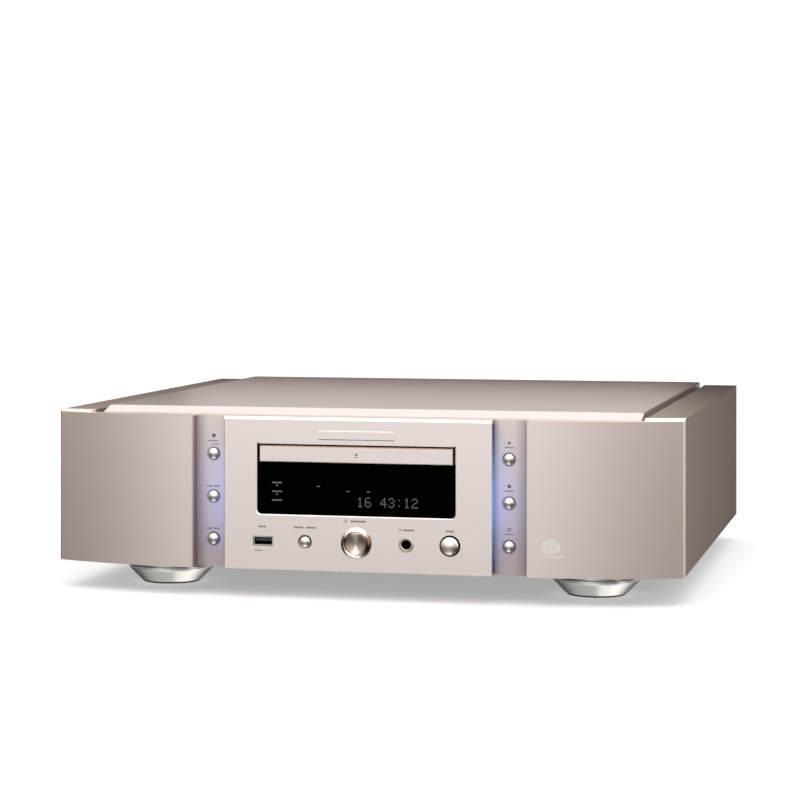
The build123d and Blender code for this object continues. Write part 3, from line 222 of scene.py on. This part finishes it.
def strip_painted_shade_and_glow():
    """Satin strip with painted light: painted shade makes it paler at its top and darker beside its
    neighbours, and a painted glow makes it blue where the guide's light falls on it.
    """
    material, tree, principled = shader("strip", (0.6, 0.52, 0.49), 0.7, 0.45)
    # Painted shade: darker at the foot and paler at the top, as the overhead light falls.
    foot, top = (0.41, 0.345, 0.335), (0.65, 0.57, 0.535)
    painted_shadow, light = (0.60, 0.59, 0.60), (0.10, 0.15, 0.56)
    spot = axes(tree)
    height, across = spot["Z"], maths(tree, "ABSOLUTE", spot["X"])
    # Painted shade beside the wing and beside the light guide.
    painted_wing_shade = ramp(tree, across, 0.107, 0.1155)
    painted_guide_shade = ramp(tree, across, 0.0975, 0.0935, 0.0, 0.6)
    painted_shade = maths(tree, "MAXIMUM", painted_wing_shade, painted_guide_shade)
    base = mixed(tree, ramp(tree, height, 0.036, 0.122), foot, top)
    tree.links.new(mixed(tree, painted_shade, base, painted_shadow, "MULTIPLY"), principled.inputs["Base Color"])
    # Painted glow: blue emission standing in for the guide's light cast on the strip, strongest half way up
    # and nearest the guide.
    middle = maths(tree, "MULTIPLY", ramp(tree, height, 0.018, 0.058), ramp(tree, height, 0.122, 0.080))
    painted_glow = maths(tree, "MULTIPLY", ramp(tree, across, 0.120, 0.0935), middle)
    principled.inputs["Emission Color"].default_value = (*light, 1)
    tree.links.new(ramp(tree, painted_glow, 0, 1, 0.0, 0.62), principled.inputs["Emission Strength"])
    return material


def glow(name, colour, strength):
    """Dark surface that gives off light of one colour."""
    material, _, principled = shader(name, (0.02, 0.02, 0.02), 0.0, 0.5)
    principled.inputs["Emission Color"].default_value = (*colour, 1)
    principled.inputs["Emission Strength"].default_value = strength
    return material


CHAMPAGNE = (0.76, 0.655, 0.61)
MATERIALS = {
    "champagne_panel": brushed("panel", (0.79, 0.70, 0.665), 0.30, (6, 60, 2600), 0.03),
    "wing": brushed("wing", CHAMPAGNE, 0.32, (900, 900, 900), 0.015),
    # Lid and side: painted shade, darker towards the rear.
    "lid": grained_with_painted_falloff("lid", (0.76, 0.70, 0.685), (0.63, 0.525, 0.505), 0.29, (4, 1500, 60), 0.05),
    "side": grained_with_painted_falloff(
        "side",
        (0.64, 0.54, 0.49),
        (0.36, 0.30, 0.29),
        0.34,
        (900, 900, 900),
        0.02,
        Specular_Tint=(0.45, 0.43, 0.42, 1),
    ),
    "strip": strip_painted_shade_and_glow(),
    "door": brushed("door", (0.78, 0.69, 0.655), 0.28, (6, 60, 2600), 0.03),
    "button": brushed("button", (0.74, 0.68, 0.65), 0.10, (700, 700, 700), 0.01, 0.000002),
    # Power button and bezel: painted reflection, bright above and below their axis and dark at their flanks.
    "spun_painted_reflection": spun_painted_reflection("spun_painted_reflection", (0.64, 0.55, 0.49), (0.33, 0.25, 0.215), 0.22, 0.12, 0.62),
    "turned": spun_painted_reflection("turned", (0.84, 0.76, 0.70), (0.20, 0.135, 0.10), 0.12, 0.6, 1.1),
    "knob": brushed("knob", (0.78, 0.69, 0.64), 0.20, (700, 700, 700), 0.02, 0.000004),
    "light_guide": light_guide_material(),
    "window": plastic("window", (0.0004, 0.0005, 0.0006), 0.3, 0.0),
    "display": plastic("display", (0.002, 0.002, 0.002), 0.6, 0.02),
    "tray": plastic("tray", (0.035, 0.035, 0.038), 0.5),
    "mechanism": plastic("mechanism", (0.05, 0.05, 0.055), 0.55),
    "jack_ring": split_material(
        "jack_ring",
        "Y",
        back(-0.15) * MM,
        ((0.44, 0.38, 0.27), 1.0, 0.28),
        ((0.006, 0.006, 0.006), 0.0, 0.6),
    ),
    "socket_metal": brushed("socket_metal", (0.86, 0.66, 0.30), 0.22, (500, 500, 500), 0.02),
    "socket_shell": split_material(
        "socket_shell", "Y", back(1.0) * MM, ((0.70, 0.68, 0.65), 1.0, 0.3), ((0.02, 0.02, 0.02), 0.0, 0.6)
    ),
    "black_plastic": plastic("black_plastic", (0.018, 0.018, 0.018), 0.42),
    "board": plastic("board", (0.02, 0.14, 0.06), 0.4),
    "steel": brushed("steel", (0.56, 0.56, 0.57), 0.3, (200, 200, 900), 0.04),
    "copper_sheet": brushed("copper_sheet", (0.72, 0.42, 0.28), 0.34, (500, 60, 500), 0.04),
    "rear_sheet": brushed("rear_sheet", (0.60, 0.50, 0.45), 0.42, (800, 800, 800), 0.03),
    "black_steel": plastic("black_steel", (0.03, 0.03, 0.033), 0.4),
    "foot": brushed("foot", (0.74, 0.76, 0.73), 0.24, (600, 600, 1800), 0.02),
    "rubber": plastic("rubber", (0.02, 0.02, 0.02), 0.8),
    "screw": brushed("screw", (0.30, 0.29, 0.29), 0.35, (800, 800, 800), 0.03),
    "core": plastic("core", (0.16, 0.08, 0.05), 0.45),
    "capacitor": plastic("capacitor", (0.05, 0.035, 0.09), 0.3),
    "belt": plastic("belt", (0.015, 0.015, 0.015), 0.7),
    "gear": plastic("gear", (0.75, 0.75, 0.72), 0.5),
}
# The power button and its bezel take the metals with a painted reflection.
OWN_LOOK = {"power_button": "spun_painted_reflection", "power_bezel": "turned"}
for part in frame["record"]["subparts"]:
    mesh = NODES[part["node"]].data
    mesh.materials.clear()
    mesh.materials.append(MATERIALS[OWN_LOOK.get(part["node"], part["material_slot"])])


# ---------------------------------------------------------------- printed marks and the display's dots
def wing_surface(x):
    """Depth of the wing's face at that distance from the middle."""
    radius, centre, start, step = WING_FACE
    first = math.sqrt(radius**2 - (start - centre) ** 2)
    return first - math.sqrt(radius**2 - (abs(x) - centre) ** 2) + step


def flat(depth):
    """A mark's surface at one depth."""
    return lambda x: depth


def marks(name, shapes, surface, material, body="case", thickness=0.03):
    """One piece of thin closed plates, each an outline of (x, z) points on a surface that faces front."""
    points, faces = [], []
    for outline in shapes:
        first, count = len(points), len(outline)
        for lift in (thickness, -thickness):
            points += [(x * MM, back(surface(x) - lift) * MM, z * MM) for x, z in outline]
        faces.append([first + i for i in range(count)])
        faces.append([first + count + i for i in reversed(range(count))])
        for i in range(count):
            after = (i + 1) % count
            faces.append([first + after, first + i, first + count + i, first + count + after])
    mesh = bpy.data.meshes.new(name)
    mesh.from_pydata(points, [], faces)
    mesh.materials.append(material)
    made = bpy.data.objects.new(name, mesh)
    bpy.context.scene.collection.objects.link(made)
    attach(made, body)
    return made


def bar(x, z, width, height):
    """Rectangle centred on (x, z)."""
    w, h = width / 2, height / 2
    return [(x - w, z - h), (x + w, z - h), (x + w, z + h), (x - w, z + h)]


def ring(x, z, outer, inner, start=0, end=360, steps=36, squeeze=1.0):
    """Arc band as a list of quads."""
    made = []
    for i in range(steps):
        a, b = (math.radians(start + (end - start) * k / steps) for k in (i, i + 1))
        made.append(
            [
                (x + r * math.cos(t), z + squeeze * r * math.sin(t))
                for r, t in ((inner, a), (outer, a), (outer, b), (inner, b))
            ]
        )
    return made


def triangle(x, z, size, turn=0):
    """Triangle pointing right, or turned by that many degrees."""
    corners = [(turn + k, size) for k in (0, 120, 240)]
    return [(x + r * math.cos(math.radians(a)), z + r * math.sin(math.radians(a))) for a, r in corners]


INK = plastic("ink", (0.10, 0.085, 0.08), 0.5)
PALE = plastic("pale_ink", (0.86, 0.84, 0.82), 0.5)
SOFT_PALE = plastic("soft_pale_ink", (0.59, 0.555, 0.535), 0.5)


def dashes(x, z, widths, height=0.6, space=0.35):
    """Row of short bars centred on x."""
    start = x - (sum(widths) + space * (len(widths) - 1)) / 2
    made = []
    for width in widths:
        made.append(bar(start + width / 2, z, width, height))
        start += width + space
    return made


LABEL_Z = 48.6  # height of the labels' row above the controls, mm
LABEL_HEIGHT = 1.15
marks(
    "panel_marks",
    [
        *dashes(USB_X - 0.4, LABEL_Z, (1.4, 1.1, 1.5), LABEL_HEIGHT),
        *dashes(USB_X - 3.0, 32.3, (1.2, 0.7, 1.4, 0.9), 0.8),
        *dashes(MODE_X - 4.2, LABEL_Z, (1.0, 1.3, 0.8, 1.2, 0.7), LABEL_HEIGHT),
        *dashes(MODE_X + 4.4, LABEL_Z, (1.3, 0.9, 1.2, 1.0, 0.8), LABEL_HEIGHT),
        *dashes(1.4, 53.6, (1.1, 1.4, 1.2, 0.9, 1.3, 1.0, 1.2), 1.3),
        *ring(-7.4, 53.5, 1.2, 0.85, 120, 420, 20),
        bar(-7.4, 54.4, 0.35, 1.4),
        *ring(JACK_X - 4.2, LABEL_Z, 0.85, 0.45, steps=12),
        *dashes(JACK_X + 1.6, LABEL_Z, (1.2, 0.9, 1.4, 1.0, 1.3), LABEL_HEIGHT),
        *dashes(KNOB_X, LABEL_Z, (1.3, 0.9, 1.2, 1.1), LABEL_HEIGHT),
    ],
    flat(0.0),
    INK,
)
marks("top_line", [bar(0, 114.4, 53.0, 0.7)], flat(0.0), PALE)
marks("under_line", [bar(0, 108.6, 53.0, 0.5)], flat(0.0), INK)
marks("door_mark", [triangle(0, 98.6, 1.3, 90), bar(0, 96.9, 2.2, 0.5)], flat(0.7), INK, body="drawer")

# Dark ink disc in the level knob's index dimple: painted shade standing in for the dimple's hollow.
DIMPLE = (KNOB_X + 2.9, CONTROL_Z - 1.8)
DIMPLE_EDGE = 1.15
ROUND = [k * math.pi / 6 for k in range(12)]


def knob_crown(x):
    """Depth of the level knob's domed face, just in front of its dimple."""
    return -3.75 + 0.0365 * ((x - KNOB_X) ** 2 + (DIMPLE[1] - CONTROL_Z) ** 2)


marks(
    "knob_dimple_painted_shade",
    [[(DIMPLE[0] + DIMPLE_EDGE * math.cos(a), DIMPLE[1] + DIMPLE_EDGE * math.sin(a)) for a in ROUND]],
    knob_crown,
    INK,
    body="level_knob",
)

strip_marks = [
    bar(-103.2, 109.3, 2.3, 2.4),
    *dashes(-103.4, 105.6, (1.5, 1.0, 1.7, 0.9, 0.8), 0.7),
    *dashes(-101.9, 103.3, (1.1, 1.6, 0.9, 1.0), 0.5),
]
for z in (74.4, 45.3):
    strip_marks += dashes(-101.2, z, (1.3, 0.8, 1.2), 0.9)
    strip_marks += [triangle(-106.4, z, 0.9, 180), triangle(-105.0, z, 0.9, 180), bar(-107.6, z, 0.5, 1.3)]
for top in (107.8, 78.6, 49.7):
    strip_marks += dashes(103.5, top - 3.0, (1.3, 0.9, 1.6, 1.1), 0.7)
strip_marks += [
    triangle(103.5, 107.9, 1.5),
    bar(103.5, 78.8, 2.2, 2.2),
    bar(102.8, 49.8, 0.7, 2.2),
    bar(104.2, 49.8, 0.7, 2.2),
]
marks("strip_marks", strip_marks, flat(9.0), INK)

disc_x, disc_z = 132.8, 39.8
marks(
    "disc_sign",
    [
        *ring(disc_x, disc_z, 6.3, 5.2, squeeze=0.76),
        *ring(disc_x, disc_z, 4.4, 3.2, squeeze=0.76),
        *ring(disc_x, disc_z, 1.9, 0.8, squeeze=0.76),
        *[bar(disc_x + 1.6 * step, 33.2, 1.6, 0.6) for step in range(-5, 6)],
    ],
    wing_surface,
    SOFT_PALE,
)

# The display's characters: seven rows of five dots each.
FONT = {
    "1": "00100 01100 00100 00100 00100 00100 01110",
    "2": "01110 10001 00001 00110 01000 10000 11111",
    "3": "01110 10001 00001 00110 00001 10001 01110",
    "4": "00010 00110 01010 10010 11111 00010 00010",
    "6": "01110 10000 10000 11110 10001 10001 01110",
    ":": "00000 00100 00000 00000 00000 00100 00000",
    " ": "00000 00000 00000 00000 00000 00000 00000",
}
dots = []
DOT_X, DOT_Z, CHARACTER = 0.88, 0.96, 5.4  # steps between dots and between characters, mm
for place_number, character in enumerate("16 43:12"):
    for row, bits in enumerate(FONT[character].split()):
        for column, bit in enumerate(bits):
            if bit == "1":
                x = 0.6 + place_number * CHARACTER + column * DOT_X
                dots.append(bar(x, 69.4 - row * DOT_Z, 0.74, 0.82))
DISPLAY_FACE = 1.8  # depth of the window's front, mm
marks("display_digits", dots, flat(DISPLAY_FACE), glow("digits", (0.62, 0.66, 0.62), 0.10))
small = []
for z in (78.6, 72.6, 66.6):
    small.append(bar(-56.0, z, 7.0, 0.9))
for z in (78.6, 72.6):
    small.append(triangle(-56.0, z - 1.9, 1.0, 270))
small += [bar(-27.0, 76.6, 2.4, 0.6), bar(-6.0, 73.6, 2.4, 0.6), bar(8.0, 73.6, 2.4, 0.6)]
DIM = glow("display_marks", (0.6, 0.63, 0.6), 0.13)
marks("display_marks", small, flat(DISPLAY_FACE), DIM)

# ---------------------------------------------------------------- studio: floor, light, cards, world, camera
floor_mesh = bpy.data.meshes.new("floor")
FLOOR_REACH = 30  # metres from the middle to each edge
corners = [(FLOOR_REACH * x, FLOOR_REACH * y, 0) for x, y in ((-1, -1), (1, -1), (1, 1), (-1, 1))]
floor_mesh.from_pydata(corners, [], [(0, 1, 2, 3)])
floor = bpy.data.objects.new("floor", floor_mesh)
bpy.context.scene.collection.objects.link(floor)
floor_look, _, floor_shader = shader("floor", (0.68, 0.68, 0.68), 0.0, 0.9, Specular_IOR_Level=0.0)
floor_shader.inputs["Emission Color"].default_value = (1, 1, 1, 1)
floor_shader.inputs["Emission Strength"].default_value = 0.36
floor_mesh.materials.append(floor_look)
floor.visible_glossy = False


def softbox(name, location, target, width, height, power):
    """Area light that faces a point."""
    data = bpy.data.lights.new(name, "AREA")
    data.shape, data.size, data.size_y, data.energy = "RECTANGLE", width, height, power
    lamp = bpy.data.objects.new(name, data)
    bpy.context.scene.collection.objects.link(lamp)
    lamp.location = location
    lamp.rotation_euler = (Vector(target) - Vector(location)).to_track_quat("-Z", "Y").to_euler()
    return lamp


softbox("overhead", (0.0, -0.4, 2.2), (0, 0, 0), 3.0, 3.0, 22)

# Dark cards behind the rear edge, seen only in the metal: each one's first X, last X and top.
FLAGS = ((-0.6, -0.285, 0.32), (-0.285, 0.165, 0.20), (0.165, 0.6, 0.42))
CARD_FOOT, CARD_Y, CARD_TOP_Y = 0.129, 0.30, 0.32
flag_look = shader("flag", (0.05, 0.045, 0.04), 0.0, 1.0, Specular_IOR_Level=0.0)[0]
for left, right, top in FLAGS:
    card_mesh = bpy.data.meshes.new("flag")
    feet = [(left, CARD_Y, CARD_FOOT), (right, CARD_Y, CARD_FOOT)]
    card_mesh.from_pydata([*feet, (right, CARD_TOP_Y, top), (left, CARD_TOP_Y, top)], [], [(0, 1, 2, 3)])
    card = bpy.data.objects.new("flag", card_mesh)
    bpy.context.scene.collection.objects.link(card)
    card_mesh.materials.append(flag_look)
    card.visible_camera = card.visible_diffuse = card.visible_shadow = False


def studio_world():
    """White round the object, with the brightness that its metal reflects set by direction."""
    world = bpy.data.worlds.new("studio")
    bpy.context.scene.world = world
    world.use_nodes = True
    tree = world.node_tree
    tree.nodes.clear()
    direction = node(tree, "ShaderNodeTexCoord").outputs["Generated"]
    height = axes(tree, direction)["Z"]
    level = node(tree, "ShaderNodeVectorMath", operation="MULTIPLY")
    level.inputs[1].default_value = (1, 1, 0)
    tree.links.new(direction, level.inputs[0])
    unit = node(tree, "ShaderNodeVectorMath", operation="NORMALIZE")
    tree.links.new(level.outputs[0], unit.inputs[0])

    def towards(vector, aim):
        """How far a direction points the same way as the aim."""
        product = node(tree, "ShaderNodeVectorMath", operation="DOT_PRODUCT")
        product.inputs[1].default_value = aim
        tree.links.new(vector, product.inputs[0])
        return product.outputs["Value"]

    def turned(turn):
        """How far the level direction points that many degrees from the front towards +X."""
        angle = math.radians(turn)
        return towards(unit.outputs[0], (math.sin(angle), -math.cos(angle), 0))

    def lobe(turn, sharpness):
        """Lobe of light about a level direction."""
        short = maths(tree, "SUBTRACT", turned(turn), 1.0)
        return maths(tree, "EXPONENT", maths(tree, "MULTIPLY", short, sharpness))

    front = lobe(-11, 10.0)
    sides = ramp(tree, turned(15), -1.0, 1.0, 0.21, 0.48)
    kick = maths(tree, "ADD", lobe(77, 60.0), maths(tree, "MULTIPLY", lobe(140, 8.0), 0.55))
    upward = ramp(tree, height, -0.20, 0.08, 0.40, 1.65)
    downward = ramp(tree, height, -0.45, -0.85, 0.0, 2.0)
    rise = maths(tree, "MAXIMUM", upward, downward)
    corner = towards(direction, tuple(Vector((0.55, -0.40, -0.73)).normalized()))
    shaded = maths(tree, "MULTIPLY", rise, ramp(tree, corner, 0.72, 0.92, 1.0, 0.1))
    walls = maths(tree, "ADD", maths(tree, "ADD", sides, maths(tree, "MULTIPLY", front, 0.61)), kick)
    sky = ramp(tree, height, 0.14, 0.42, 0.0, 1.0)
    strength = maths(tree, "ADD", maths(tree, "MULTIPLY", walls, shaded), maths(tree, "MULTIPLY", sky, 0.95))
    warm, cool = (1.0, 0.94, 0.91), (0.97, 1.0, 1.01)
    lit, white = node(tree, "ShaderNodeBackground"), node(tree, "ShaderNodeBackground", Strength=1.1)
    tree.links.new(mixed(tree, front, warm, cool), lit.inputs["Color"])
    tree.links.new(strength, lit.inputs["Strength"])
    white.inputs["Color"].default_value = (1, 1, 1, 1)
    mix = node(tree, "ShaderNodeMixShader")
    tree.links.new(node(tree, "ShaderNodeLightPath").outputs["Is Glossy Ray"], mix.inputs[0])
    tree.links.new(white.outputs[0], mix.inputs[1])
    tree.links.new(lit.outputs[0], mix.inputs[2])
    tree.links.new(mix.outputs[0], node(tree, "ShaderNodeOutputWorld").inputs["Surface"])
    world.cycles.sampling_method = "NONE"


studio_world()
bpy.context.scene.view_settings.view_transform = "Standard"

camera_data = bpy.data.cameras.new("camera")
camera_data.sensor_width = 36.0
camera_data.lens = 109.8
camera_data.shift_y = -0.2023
camera_data.clip_start, camera_data.clip_end = 0.05, 100.0
camera = bpy.data.objects.new("camera", camera_data)
bpy.context.scene.collection.objects.link(camera)
camera.location = (0.39684, -1.80723, 0.24517)
camera.rotation_euler = (math.pi / 2, 0.0, 0.22497)
bpy.context.scene.camera = camera
